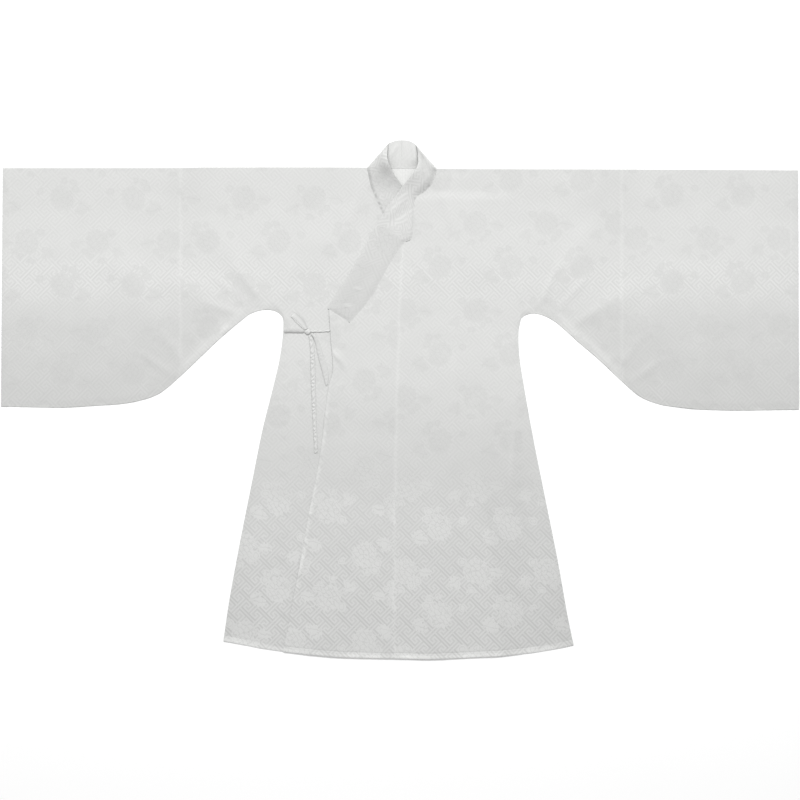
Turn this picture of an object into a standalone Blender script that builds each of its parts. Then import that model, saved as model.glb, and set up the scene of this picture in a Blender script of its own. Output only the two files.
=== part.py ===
# A long cross-collared robe with wide curved sleeves, lying flat on its back.
# Metres, +Z up. Tables are in millimetres: x to the wearer's left, y towards
# the collar, z up from the surface that the robe rests on.

import math

import bmesh
import bpy

MM = 0.001

# Walls and the space kept between pieces
CLOTH = 1.2
BAND = 1.6
MEET = 0.5
LOW_LAYER = 1.5
HIGH_LAYER = 3.0
OVER_BAND = 3.5
EDGE_ROUND = 1.35

# Moves the tables so that the robe's middle is at the origin
SHIFT_Y = -1.0

# Where the pieces are sewn to each other
SLEEVE_SEAM = {"right": -526.6, "left": 531.8}
ARMPIT = {"right": (-278.4, 192.0), "left": (288.0, 192.0)}
CENTRE_TOP = 6.0
CENTRE_FOOT = -13.9
CENTRE_BEND_Y = 374.4
HEM_Y = -614.4
BACK_NECK_Y = 555.3
INNER_SHORTER = 8.0

# Shoulder line: x, y
TOP = {
    "right": [(-957.6, 556.0), (-526.6, 556.4), (-470.0, 557.6), (-96.0, 557.6), (-79.2, 556.8)],
    "left": [(88.8, 554.4), (240.0, 553.6), (624.0, 552.4), (957.6, 550.6)],
}

# Underside of the sleeve, from the cuff to the armpit: x, y
UNDER = {
    "right": [(-957.6, -14.4), (-816.0, -16.8), (-720.0, -12.0), (-672.0, -8.4), (-624.0, 0.0),
              (-576.0, 18.0), (-526.6, 58.8), (-480.0, 103.2), (-432.0, 148.8), (-384.0, 189.6),
              (-360.0, 207.6), (-336.0, 216.0), (-312.0, 217.4), (-295.2, 212.4),
              (-283.2, 202.8), (-278.4, 192.0)],
    "left": [(288.0, 192.0), (290.4, 196.8), (300.0, 204.0), (316.8, 208.8), (336.0, 206.4),
             (360.0, 196.8), (384.0, 180.0), (432.0, 136.8), (480.0, 96.0), (531.8, 46.8),
             (576.0, 9.6), (624.0, -9.6), (672.0, -16.8), (720.0, -21.6), (816.0, -24.0),
             (957.6, -21.6)],
}

# Side seam from the hem to the armpit: y, x
SIDE = {
    "right": [(-578.4, -422.4), (-480.0, -408.0), (-336.0, -381.6), (-192.0, -352.8),
              (-72.0, -328.8), (24.0, -304.8), (96.0, -288.0), (156.0, -279.8), (192.0, -278.4)],
    "left": [(-588.0, 415.2), (-518.4, 400.8), (-384.0, 376.8), (-240.0, 348.0), (-96.0, 319.2),
             (24.0, 297.6), (100.8, 285.6), (160.8, 283.2), (192.0, 288.0)],
}

# Cuff edge: y, x
CUFF = {"right": [(-20.0, -957.4), (556.0, -952.8)], "left": [(-25.0, 957.6), (551.0, 955.2)]}

# Hem: x, y
HEM = [(-422.4, -578.4), (-384.0, -585.6), (-336.0, -595.2), (-288.0, -602.4), (-240.0, -608.4),
       (-192.0, -613.2), (-144.0, -616.8), (-72.0, -619.2), (0.0, -620.4), (72.0, -621.6),
       (144.0, -619.2), (192.0, -616.8), (240.0, -614.4), (288.0, -609.6), (336.0, -603.6),
       (384.0, -595.2), (415.2, -588.0)]

# Neck edge of each front, from the shoulder down to the centre seam: x, y
NECK = {
    "right": [(-79.2, 556.8), (-69.6, 511.2), (-60.0, 487.2), (-40.8, 444.0), (-19.2, 408.0),
              (6.0, 374.4)],
    "left": [(88.8, 554.4), (76.8, 518.4), (57.6, 498.0), (36.0, 477.6), (28.8, 391.2),
             (10.8, 379.2), (6.0, 375.4)],
}

# Columns of the cut across the sleeve part and the body part: x
SLEEVE_PART = {
    "right": [-492, -458, -424, -392, -362, -336, -312, -295, -284],
    "left": [498, 464, 430, 398, 370, 344, 320, 303, 292],
}
BODY_PART = {
    "right": [-246, -213, -180, -147, -113],
    "left": [255, 222, 188, 155, 122],
}
SLEEVE_COLUMNS = {
    "right": [-566, -606, -648, -690, -732, -774, -816, -862, -910],
    "left": [571, 611, 653, 695, 737, 779, 821, 867, 915],
}

# Free edge of the outer overlap: y, x
FLAP = [(-602.4, -280.8), (-429.6, -247.2), (-254.4, -216.0), (-132.0, -192.0), (24.0, -172.8),
        (74.4, -160.8), (144.0, -165.6), (218.4, -170.4)]

# Top of the outer overlap below the band, from its free edge to the centre: x, y
FLAP_TOP = [(-170.4, 218.4), (-146.4, 202.6), (-119.8, 187.0), (-81.6, 230.0), (-52.8, 275.6),
            (-26.4, 323.6), (6.0, 374.2)]

# Free edge of the inner overlap, y, x, and its top below the band, x, y
INNER_EDGE = [(-616.8, 192.0), (-240.0, 168.0), (132.0, 134.4), (199.2, 110.4)]
INNER_TOP = [(6.0, 373.6), (32.6, 329.4), (59.6, 285.0), (84.9, 241.8), (110.4, 198.4)]

# Where the right front starts to be covered: y, x
COVERED_FROM = [(-602.4, -280.8), (-254.4, -216.0), (24.0, -172.8), (218.4, -175.0),
                (444.0, -45.0), (600.0, -60.0)]

# The largest folds: foot x, y, head x, y, half width, height
FOLDS = [
    (124.8, 240.0, 132.0, -384.0, 30.0, 6.0),
    (187.0, 24.0, 221.0, -480.0, 34.0, 7.0),
    (273.0, 72.0, 259.0, -384.0, 26.0, 5.0),
    (-324.0, -190.0, -360.0, -530.0, 26.0, 6.0),
    (-132.0, -72.0, -149.0, -600.0, 30.0, 5.0),
    (-72.0, -288.0, -67.0, -600.0, 28.0, 4.0),
    (60.0, -190.0, 77.0, -610.0, 26.0, 4.0),
    (331.0, -240.0, 374.0, -560.0, 26.0, 5.0),
    (-331.0, 240.0, -468.0, 444.0, 32.0, 5.0),
    (-372.0, 200.0, -600.0, 312.0, 32.0, 4.0),
    (-547.0, 96.0, -672.0, 360.0, 36.0, 5.0),
    (-720.0, 24.0, -768.0, 336.0, 36.0, 4.0),
    (348.0, 232.0, 480.0, 444.0, 32.0, 5.0),
    (396.0, 176.0, 624.0, 288.0, 32.0, 4.0),
    (552.0, 72.0, 660.0, 348.0, 36.0, 5.0),
    (732.0, 16.0, 773.0, 324.0, 36.0, 4.0),
    (132.0, 480.0, 187.0, 260.0, 42.0, 5.0),
    (-144.0, 480.0, -205.0, 300.0, 42.0, 4.0),
]

# Neck band, outer face: seam x, y, z, free edge x, y, z, crown
BAND_ROWS = [
    (111.4, 199.9, 3.1, 172.8, 237.6, 3.1, 0.0),
    (60.3, 286.0, 3.1, 122.4, 321.6, 3.1, 0.0),
    (6.6, 374.6, 3.1, 67.2, 412.1, 3.1, 0.0),
    (-18.7, 408.4, 3.1, 33.6, 460.8, 3.1, 0.0),
    (-40.2, 444.3, 3.1, 14.4, 494.4, 3.1, 0.0),
    (-59.4, 487.4, 3.7, 2.4, 518.4, 3.7, 0.5),
    (-69.0, 511.4, 4.4, -12.0, 537.6, 5.2, 1.5),
    (-73.4, 532.8, 4.6, -24.0, 559.2, 7.2, 2.5),
    (-76.2, 547.2, 4.6, -31.0, 582.0, 9.0, 3.0),
    (-77.2, 553.2, 4.4, -29.6, 602.0, 9.4, 2.0),
    (-78.2, 556.6, 3.6, -29.4, 610.6, 8.0, 1.0),
    (-78.6, 557.8, 2.1, -29.2, 614.0, 4.6, 0.0),
    (-78.0, 558.2, 0.6, -27.4, 615.8, 1.2, 0.0),
    (-74.0, 557.6, 0.0, -23.0, 617.8, 0.0, 0.0),
    (-56.0, 556.2, 0.0, -15.0, 620.8, 0.0, 0.0),
    (-30.0, 555.9, 0.0, -6.0, 622.9, 0.0, 0.0),
    (3.0, 555.9, 0.0, 4.8, 623.6, 0.0, 0.0),
    (36.0, 555.9, 0.0, 16.0, 622.8, 0.0, 0.0),
    (62.0, 556.0, 0.0, 26.0, 620.2, 0.0, 0.0),
    (83.0, 556.4, 0.0, 34.0, 615.6, 0.0, 0.0),
    (87.0, 556.6, 0.6, 38.0, 612.6, 1.4, 0.0),
    (87.8, 555.9, 2.4, 39.8, 609.8, 5.2, 0.0),
    (87.5, 553.8, 4.2, 40.6, 606.0, 9.2, 1.0),
    (86.6, 550.4, 5.0, 41.8, 599.0, 10.6, 2.0),
    (84.6, 544.8, 5.0, 43.2, 586.0, 10.8, 3.0),
    (76.2, 519.0, 5.4, 42.6, 564.0, 10.6, 3.0),
    (57.2, 498.6, 5.8, 28.8, 540.0, 9.6, 2.5),
    (35.5, 478.2, 6.0, 4.8, 511.2, 7.6, 1.5),
    (32.0, 434.4, 5.9, -14.4, 484.8, 6.0, 0.8),
    (28.2, 391.7, 5.6, -33.6, 458.4, 5.5, 0.5),
    (10.2, 380.3, 5.4, -57.6, 417.6, 5.3, 0.3),
    (5.1, 375.6, 5.3, -63.0, 408.0, 5.2, 0.3),
    (-26.9, 324.4, 5.3, -96.0, 345.6, 5.2, 0.3),
    (-53.3, 276.4, 5.3, -124.8, 297.6, 5.2, 0.3),
    (-82.1, 230.8, 5.3, -148.8, 259.2, 5.2, 0.3),
    (-120.2, 188.0, 5.3, -172.6, 220.8, 5.2, 0.3),
]
BAND_ACROSS = 4
FIRST_OUTER_ROW = 27

# Straps and tails on the right front: x, y, width, height above the panel
SIDE_STRAP = [(-277.2, 165.6, 8.5, 0.3), (-262.0, 165.4, 8.0, 0.3), (-246.0, 165.0, 8.0, 0.3),
              (-229.2, 164.0, 6.4, 0.4)]
FLAP_STRAP = [(-212.9, 164.4, 5.0, 0.4), (-198.0, 165.0, 5.0, 0.3), (-184.0, 165.6, 5.0, 0.3),
              (-167.5, 166.2, 5.0, 0.3)]
LONG_TAIL = [(-215.4, 155.9, 8.0, 0.3), (-212.6, 140.0, 9.2, 0.3), (-210.5, 120.0, 10.2, 0.3),
             (-209.6, 88.0, 10.2, 0.3), (-208.8, 57.6, 10.2, 0.3), (-207.8, 28.0, 9.8, 0.3),
             (-206.9, 0.0, 9.5, 0.3), (-206.0, -30.0, 8.8, 0.3), (-205.0, -57.6, 8.0, 0.3),
             (-202.8, -96.0, 7.8, 0.3), (-201.6, -127.2, 7.8, 0.3)]
SHORT_TAIL = [(-212.6, 159.4, 5.0, 1.8), (-207.0, 154.0, 6.0, 1.8), (-202.0, 146.0, 7.4, 1.4),
              (-198.4, 136.0, 9.0, 0.6), (-195.0, 124.0, 11.0, 0.3),
              (-190.6, 107.0, 12.6, 0.3), (-186.0, 91.2, 13.5, 0.3), (-181.6, 76.0, 13.8, 0.3),
              (-178.6, 62.0, 13.0, 0.3), (-176.8, 47.0, 8.6, 0.3), (-176.2, 34.0, 4.0, 0.3)]

# Half bow, outer face: near edge x, y, z, far edge x, y, z
LOOP_ROWS = [
    (-228.6, 168.4, 3.2, -222.6, 171.4, 3.2),
    (-246.0, 183.5, 3.2, -236.5, 191.5, 3.2),
    (-258.4, 196.8, 3.2, -248.6, 207.2, 3.2),
    (-261.0, 199.6, 4.0, -251.2, 210.2, 4.0),
    (-262.0, 200.6, 5.7, -252.0, 211.2, 5.7),
    (-260.6, 199.8, 7.4, -249.6, 209.6, 7.4),
    (-257.4, 197.6, 8.3, -245.6, 206.6, 8.3),
    (-243.0, 184.5, 8.6, -232.0, 193.0, 8.6),
    (-227.8, 168.8, 7.4, -221.0, 171.6, 7.4),
]

KNOT_CENTRE = (-221.0, 163.5, 4.9)
KNOT_HALF = (7.6, 6.9, 4.6)
KNOT_BASE = 3.1


def along(table, at):
    """Value of a two-column table at a place, as a smooth curve through its rows."""
    if at <= table[0][0]:
        return table[0][1]
    if at >= table[-1][0]:
        return table[-1][1]
    row = max(i for i in range(len(table) - 1) if table[i][0] <= at)

    def slope(i):
        low, high = max(i - 1, 0), min(i + 1, len(table) - 1)
        return (table[high][1] - table[low][1]) / (table[high][0] - table[low][0])

    (x0, y0), (x1, y1) = table[row], table[row + 1]
    span = x1 - x0
    t = (at - x0) / span
    return (y0 * (1 + 2 * t) * (1 - t) ** 2 + slope(row) * span * t * (1 - t) ** 2
            + y1 * t * t * (3 - 2 * t) + slope(row + 1) * span * t * t * (t - 1))


def ease(value, start, end):
    t = min(max((value - start) / (end - start), 0.0), 1.0)
    return t * t * (3 - 2 * t)


def centre(y):
    """The centre seam runs straight below the neck and bends gently to the right."""
    if y >= CENTRE_BEND_Y:
        return CENTRE_TOP
    share = (y - HEM_Y) / (CENTRE_BEND_Y - HEM_Y)
    return CENTRE_FOOT + (CENTRE_TOP - CENTRE_FOOT) * max(share, 0.0) ** 2.5


def lift(x, y):
    """Height that the large folds add at a place."""
    total = 0.0
    for x0, y0, x1, y1, half_width, height in FOLDS:
        dx, dy = x1 - x0, y1 - y0
        t = ((x - x0) * dx + (y - y0) * dy) / (dx * dx + dy * dy)
        t = min(max(t, 0.0), 1.0)
        away = math.hypot(x - x0 - t * dx, y - y0 - t * dy) / half_width
        total += height * math.exp(-away * away)
    return total


def right_top(x, y):
    """Upper face of the right front: folds only where nothing covers it."""
    edge = along(COVERED_FROM, y)
    return LOW_LAYER + CLOTH + lift(x, y) * ease(edge - x, 22.0, 84.0)


def outer_level(x, y):
    """Underside of the pieces that lie over the inner front and its band."""
    over_inner = ease(y, 505.0, 478.0) if y > 400 else 1.0
    beyond = 1.0 - ease(x, 216.0, 288.0)
    high = HIGH_LAYER + (OVER_BAND - HIGH_LAYER) * ease(y, 110.0, 170.0)
    return LOW_LAYER + (high - LOW_LAYER) * over_inner * beyond


def outer_top(x, y):
    return outer_level(x, y) + CLOTH + lift(x, y)


def collection():
    found = bpy.data.collections.get("hanfu_robe")
    if found is None:
        found = bpy.data.collections.new("hanfu_robe")
        bpy.context.scene.collection.children.link(found)
    return found


def material(name, colour, rough):
    made = bpy.data.materials.new(name)
    made.use_nodes = True
    shader = made.node_tree.nodes["Principled BSDF"]
    shader.inputs["Base Color"].default_value = (*colour, 1.0)
    shader.inputs["Roughness"].default_value = rough
    return made


def cloth_object(name, points, faces, wall, colour, upward):
    """Open outer face made into cloth of one thickness by a Solidify modifier."""
    mesh = bpy.data.meshes.new(name)
    work = bmesh.new()
    verts = [work.verts.new([c * MM for c in p]) for p in points]
    for face in faces:
        work.faces.new([verts[i] for i in face])
    bmesh.ops.recalc_face_normals(work, faces=work.faces)
    work.faces.ensure_lookup_table()
    if (work.faces[upward].normal.z < 0):
        bmesh.ops.reverse_faces(work, faces=work.faces)
    work.to_mesh(mesh)
    work.free()
    made = bpy.data.objects.new(name, mesh)
    collection().objects.link(made)
    mesh.materials.append(material(name + "_cloth", colour, 0.6))
    if wall:
        shell = made.modifiers.new("cloth", "SOLIDIFY")
        shell.thickness = wall * MM
        shell.offset = -1.0
    return made


class Cut:
    """Collects the points and faces of one piece."""

    def __init__(self):
        self.points = []
        self.faces = []

    def point(self, x, y, z):
        self.points.append((x, y + SHIFT_Y, z))
        return len(self.points) - 1

    def corner(self, index):
        x, y, z = self.points[index]
        return x, y - SHIFT_Y, z

    def join(self, first, second):
        for i in range(len(first) - 1):
            self.faces.append((first[i], first[i + 1], second[i + 1], second[i]))

    def fold_over(self, upper, lower, clockwise):
        """Round the cloth over from an edge of the front to the same edge of the back."""
        ends = [self.corner(i) for i in upper]
        last = len(ends) - 1
        strips = [upper]
        outs = []
        for i in range(len(ends)):
            before, after = ends[max(i - 1, 0)], ends[min(i + 1, last)]
            dx, dy = after[0] - before[0], after[1] - before[1]
            size = math.hypot(dx, dy)
            outs.append((dy / size, -dx / size) if clockwise else (-dy / size, dx / size))
        for turn in (45, 90, 135):
            angle = math.radians(turn)
            row = []
            for i, (x, y, z) in enumerate(ends):
                half = z / 2
                reach = EDGE_ROUND * math.sin(angle)
                row.append(self.point(x + outs[i][0] * reach, y + outs[i][1] * reach,
                                      half + half * math.cos(angle)))
            strips.append(row)
        strips.append(lower)
        for first, second in zip(strips, strips[1:]):
            self.join(first, second)


def body_half(name, side, top_face, colour):
    """Back and front of one side in one length, over the shoulder and round the side."""
    right = side == "right"
    sign = -1 if right else 1
    seam = SLEEVE_SEAM[side] - sign * MEET / 2
    arm_x, arm_y = ARMPIT[side]
    sleeve = [seam] + SLEEVE_PART[side]
    neck = NECK[side]
    heads = [(x, along(TOP[side], x)) for x in [arm_x] + BODY_PART[side]] + neck
    shares = [(x - arm_x) / (CENTRE_TOP - arm_x) for x, _ in heads]
    neck_column = len(sleeve) + 1 + len(BODY_PART[side])
    under, down, hem = UNDER[side], SIDE[side], HEM
    upper_rows, lower_rows = 10, 22
    cut = Cut()

    def place(column, head_y, v):
        if column < len(sleeve):
            x = sleeve[column]
            y0 = along(TOP[side], x)
            return x, y0 + v * (along(under, x) - y0)
        share = shares[column - len(sleeve)]
        y = head_y + v * (arm_y - head_y)
        return arm_x + share * (centre(y) + sign * MEET / 2 - arm_x), y

    def below(column, w):
        share = shares[column - len(sleeve)]
        foot_x = along(down, down[0][0])
        foot_y = along(hem, foot_x + share * (centre(HEM_Y) - foot_x))
        y = arm_y + w * (foot_y - arm_y)
        edge = along(down, y)
        return edge + share * (centre(y) + sign * MEET / 2 - edge), y

    def layer(rows, face, back):
        grid = []
        for column in range(len(sleeve) + len(heads)):
            head = heads[column - len(sleeve)] if column >= len(sleeve) else (0, 0)
            head_y = head[1]
            if back and column > neck_column:
                head_y = BACK_NECK_Y
            line = []
            for row in range(rows + 1):
                x, y = place(column, head_y, row / rows)
                line.append(cut.point(x, y, face(x, y)))
            if column >= len(sleeve):
                for row in range(1, lower_rows + 1):
                    x, y = below(column, row / lower_rows)
                    line.append(cut.point(x, y, face(x, y)))
            grid.append(line)
        for first, second in zip(grid, grid[1:]):
            short = min(len(first), len(second))
            cut.join(first[:short], second[:short])
        return grid

    front = layer(upper_rows, top_face, False)
    back = layer(2, lambda x, y: 0.0, True)
    shoulder = range(neck_column, -1, -1)
    cut.fold_over([front[i][0] for i in shoulder], [back[i][0] for i in shoulder], right)
    bottom = range(len(sleeve) + 1)
    upper = [front[i][upper_rows] for i in bottom] + front[len(sleeve)][upper_rows + 1:]
    lower = [back[i][2] for i in bottom] + back[len(sleeve)][3:]
    cut.fold_over(upper, lower, right)
    return cloth_object(name, cut.points, cut.faces, CLOTH, colour, 0)


def sleeve(name, side, colour):
    """Open tube, folded along the shoulder line and closed along its curved underside."""
    right = side == "right"
    sign = -1 if right else 1
    columns = [SLEEVE_SEAM[side] + sign * MEET / 2] + SLEEVE_COLUMNS[side] + [None]
    cut = Cut()

    def face_up(x, y):
        return LOW_LAYER + CLOTH + lift(x, y)

    def layer(rows, face):
        grid = []
        for x in columns:
            line = []
            for row in range(rows + 1):
                if x is None:
                    y0, y1 = TOP[side][0 if right else -1][1], UNDER[side][0 if right else -1][1]
                    y = y0 + row / rows * (y1 - y0)
                    here = along(CUFF[side], y)
                else:
                    y0 = along(TOP[side], x)
                    y, here = y0 + row / rows * (along(UNDER[side], x) - y0), x
                line.append(cut.point(here, y, face(here, y)))
            grid.append(line)
        for first, second in zip(grid, grid[1:]):
            cut.join(first, second)
        return grid

    front, back = layer(11, face_up), layer(2, lambda x, y: 0.0)
    cut.fold_over([line[0] for line in front], [line[0] for line in back], right)
    cut.fold_over([line[-1] for line in front], [line[-1] for line in back], not right)
    return cloth_object(name, cut.points, cut.faces, CLOTH, colour, 0)


def panel(name, heads, edge_a, edge_b, rows, face, colour, shorter=0.0):
    """Single layer between two long edges, its top following the neck band."""
    cut = Cut()
    grid = []
    for head_x, head_y in heads:
        share = (head_x - edge_a(head_y)) / (edge_b(head_y) - edge_a(head_y))
        share = min(max(share, 0.0), 1.0)
        foot_x = edge_a(HEM_Y) + share * (edge_b(HEM_Y) - edge_a(HEM_Y))
        foot_y = along(HEM, foot_x) + shorter
        line = []
        for row in range(rows + 1):
            y = head_y + row / rows * (foot_y - head_y)
            x = edge_a(y) + share * (edge_b(y) - edge_a(y))
            line.append(cut.point(x, y, face(x, y)))
        grid.append(line)
    for first, second in zip(grid, grid[1:]):
        cut.join(first, second)
    return cloth_object(name, cut.points, cut.faces, CLOTH, colour, 0)


def neck_band(name, colour):
    """One long band: inner run, round the back of the neck, outer run."""
    cut = Cut()
    grid = []
    for index, (sx, sy, sz, fx, fy, fz, crown) in enumerate(BAND_ROWS):
        line = []
        for step in range(BAND_ACROSS + 1):
            t = step / BAND_ACROSS
            x, y = sx + t * (fx - sx), sy + t * (fy - sy)
            z = sz + t * (fz - sz) + crown * 4 * t * (1 - t)
            if index >= FIRST_OUTER_ROW:
                z += lift(x, y)
            line.append(cut.point(x, y, z))
        grid.append(line)
    for first, second in zip(grid, grid[1:]):
        cut.join(first, second)
    return cloth_object(name, cut.points, cut.faces, BAND, colour, 0)


def strap(name, rows, colour):
    """Flat strip lying on the right front."""
    cut = Cut()
    grid = []
    for index, (x, y, width, above) in enumerate(rows):
        before, after = rows[max(index - 1, 0)], rows[min(index + 1, len(rows) - 1)]
        dx, dy = after[0] - before[0], after[1] - before[1]
        size = math.hypot(dx, dy)
        line = []
        for share in (-0.5, 0.0, 0.5):
            px, py = x - dy / size * width * share, y + dx / size * width * share
            line.append(cut.point(px, py, right_top(px, py) + above + CLOTH))
        grid.append(line)
    for first, second in zip(grid, grid[1:]):
        cut.join(first, second)
    return cloth_object(name, cut.points, cut.faces, CLOTH, colour, 0)


def bow_loop(name, colour):
    cut = Cut()
    grid = []
    for nx, ny, nz, fx, fy, fz in LOOP_ROWS:
        base = right_top(nx, ny) - LOW_LAYER - CLOTH
        grid.append([cut.point(nx + t * (fx - nx), ny + t * (fy - ny), nz + t * (fz - nz) + base)
                     for t in (0.0, 0.5, 1.0)])
    for first, second in zip(grid, grid[1:]):
        cut.join(first, second)
    return cloth_object(name, cut.points, cut.faces, CLOTH, colour, len(cut.faces) - 1)


def knot(name, colour):
    mesh = bpy.data.meshes.new(name)
    work = bmesh.new()
    bmesh.ops.create_icosphere(work, subdivisions=2, radius=1.0)
    for vert in work.verts:
        x, y, z = (KNOT_CENTRE[i] + vert.co[i] * KNOT_HALF[i] for i in range(3))
        vert.co = (x * MM, (y + SHIFT_Y) * MM, max(z, KNOT_BASE) * MM)
    work.to_mesh(mesh)
    work.free()
    made = bpy.data.objects.new(name, mesh)
    collection().objects.link(made)
    mesh.materials.append(material(name + "_cloth", colour, 0.6))
    return made


for old in list(bpy.data.objects):
    bpy.data.objects.remove(old, do_unlink=True)

WHITE = (0.70, 0.71, 0.69)
SHADE = (0.64, 0.65, 0.63)

body_half("body_right", "right", right_top, WHITE)
body_half("body_left", "left", outer_top, WHITE)
sleeve("sleeve_right", "right", WHITE)
sleeve("sleeve_left", "left", WHITE)
panel("overlap_inner", INNER_TOP, lambda y: centre(y) + MEET / 2,
      lambda y: along(INNER_EDGE, y), 14, lambda x, y: LOW_LAYER + CLOTH, SHADE, INNER_SHORTER)
panel("overlap_outer", FLAP_TOP, lambda y: along(FLAP, y), lambda y: centre(y) - MEET / 2,
      24, outer_top, WHITE)
neck_band("collar_band", SHADE)
strap("side_strap", SIDE_STRAP, SHADE)
strap("flap_strap", FLAP_STRAP, SHADE)
strap("tail_long", LONG_TAIL, SHADE)
strap("tail_short", SHORT_TAIL, SHADE)
bow_loop("tie_loop", SHADE)
knot("tie_knot", SHADE)
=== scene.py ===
# A long cross-collared robe of white figured silk, laid flat and face up.

import math

import bmesh
import bpy
import numpy as np
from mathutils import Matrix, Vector


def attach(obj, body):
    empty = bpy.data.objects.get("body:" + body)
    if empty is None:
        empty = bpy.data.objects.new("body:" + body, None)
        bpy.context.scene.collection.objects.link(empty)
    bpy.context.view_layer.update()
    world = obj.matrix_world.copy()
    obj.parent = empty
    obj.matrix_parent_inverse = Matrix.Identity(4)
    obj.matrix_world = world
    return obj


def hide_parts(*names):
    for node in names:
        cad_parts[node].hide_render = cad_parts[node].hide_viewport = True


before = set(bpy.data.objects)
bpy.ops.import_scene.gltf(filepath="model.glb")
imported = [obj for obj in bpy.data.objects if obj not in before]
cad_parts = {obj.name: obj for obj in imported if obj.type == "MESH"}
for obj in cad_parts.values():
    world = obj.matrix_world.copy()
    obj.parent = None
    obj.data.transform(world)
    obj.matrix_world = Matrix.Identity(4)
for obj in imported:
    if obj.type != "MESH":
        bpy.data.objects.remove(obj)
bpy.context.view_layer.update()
print("frame loaded")

# Sizes in millimetres, as in the solids: x to the wearer's left, y to the collar
mm = 0.001
shiftY = -1.0  # from the drawing's origin to the frame's
lowLayer, highLayer, overBand, solidWall = 1.5, 3.0, 3.5, 1.2  # undersides of the front's layers
edgeRound = 1.35  # how far a folded edge stands out
seamGap = 0.012  # from a piece's edge to the middle of its seam

sides = {"right": -1, "left": 1}

# Outlines. sideSeam, cuffEdge, flapEdge, innerEdge and coveredFrom give y before x
centreTop, centreFoot = 6.0, -13.9  # x of the centre front seam
centreBend, hemLevel = 374.4, -614.4  # y of its ends
backNeck = 555.3
sleeveSeam = {"right": -526.6, "left": 531.8}
armpit = {"right": (-278.4, 192.0), "left": (288.0, 192.0)}
topLine = {
    "right": [(-957.6, 556), (-526.6, 556.4), (-470, 557.6), (-96, 557.6), (-79.2, 556.8)],
    "left": [(88.8, 554.4), (240, 553.6), (624, 552.4), (957.6, 550.6)],
}
underSleeve = {
    "right": [
        (-957.6, -14.4), (-816, -16.8), (-720, -12), (-672, -8.4), (-624, 0), (-576, 18),
        (-526.6, 58.8), (-480, 103.2), (-432, 148.8), (-384, 189.6), (-360, 207.6), (-336, 216),
        (-312, 217.4), (-295.2, 212.4), (-283.2, 202.8), (-278.4, 192),
    ],
    "left": [
        (288, 192), (290.4, 196.8), (300, 204), (316.8, 208.8), (336, 206.4), (360, 196.8),
        (384, 180), (432, 136.8), (480, 96), (531.8, 46.8), (576, 9.6), (624, -9.6), (672, -16.8),
        (720, -21.6), (816, -24), (957.6, -21.6),
    ],
}
sideSeam = {
    "right": [
        (-578.4, -422.4), (-480, -408), (-336, -381.6), (-192, -352.8), (-72, -328.8),
        (24, -304.8), (96, -288), (156, -279.8), (192, -278.4),
    ],
    "left": [
        (-588, 415.2), (-518.4, 400.8), (-384, 376.8), (-240, 348), (-96, 319.2), (24, 297.6),
        (100.8, 285.6), (160.8, 283.2), (192, 288),
    ],
}
cuffEdge = {"right": [(-20, -957.4), (556, -952.8)], "left": [(-25, 957.6), (551, 955.2)]}
hemLine = [(-422.4, -578.4), (-384, -585.6), (-336, -595.2), (-288, -602.4), (-240, -608.4),
           (-192, -613.2), (-144, -616.8), (-72, -619.2), (0, -620.4), (72, -621.6), (144, -619.2),
           (192, -616.8), (240, -614.4), (288, -609.6), (336, -603.6), (384, -595.2),
           (415.2, -588)]
neckEdge = {
    "right": [
        (-79.2, 556.8), (-69.6, 511.2), (-60, 487.2), (-40.8, 444), (-19.2, 408), (6, 374.4),
    ],
    "left": [
        (88.8, 554.4), (76.8, 518.4), (57.6, 498), (36, 477.6), (28.8, 391.2), (10.8, 379.2),
        (6, 375.4),
    ],
}
flapEdge = [(-602.4, -280.8), (-429.6, -247.2), (-254.4, -216), (-132, -192), (24, -172.8),
            (74.4, -160.8), (144, -165.6), (218.4, -170.4)]
flapTop = [(-170.4, 218.4), (-146.4, 202.6), (-119.8, 187), (-119.8, 187), (-81.6, 230),
           (-52.8, 275.6), (-26.4, 323.6), (6, 374.2)]
innerEdge = [(-616.8, 192), (-240, 168), (132, 134.4), (199.2, 110.4)]
innerTop = [(6, 373.6), (32.6, 329.4), (59.6, 285), (84.9, 241.8), (110.4, 198.4)]
coveredFrom = [(-602.4, -280.8), (-254.4, -216), (24, -172.8), (218.4, -175), (444, -45),
               (600, -60)]

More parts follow.
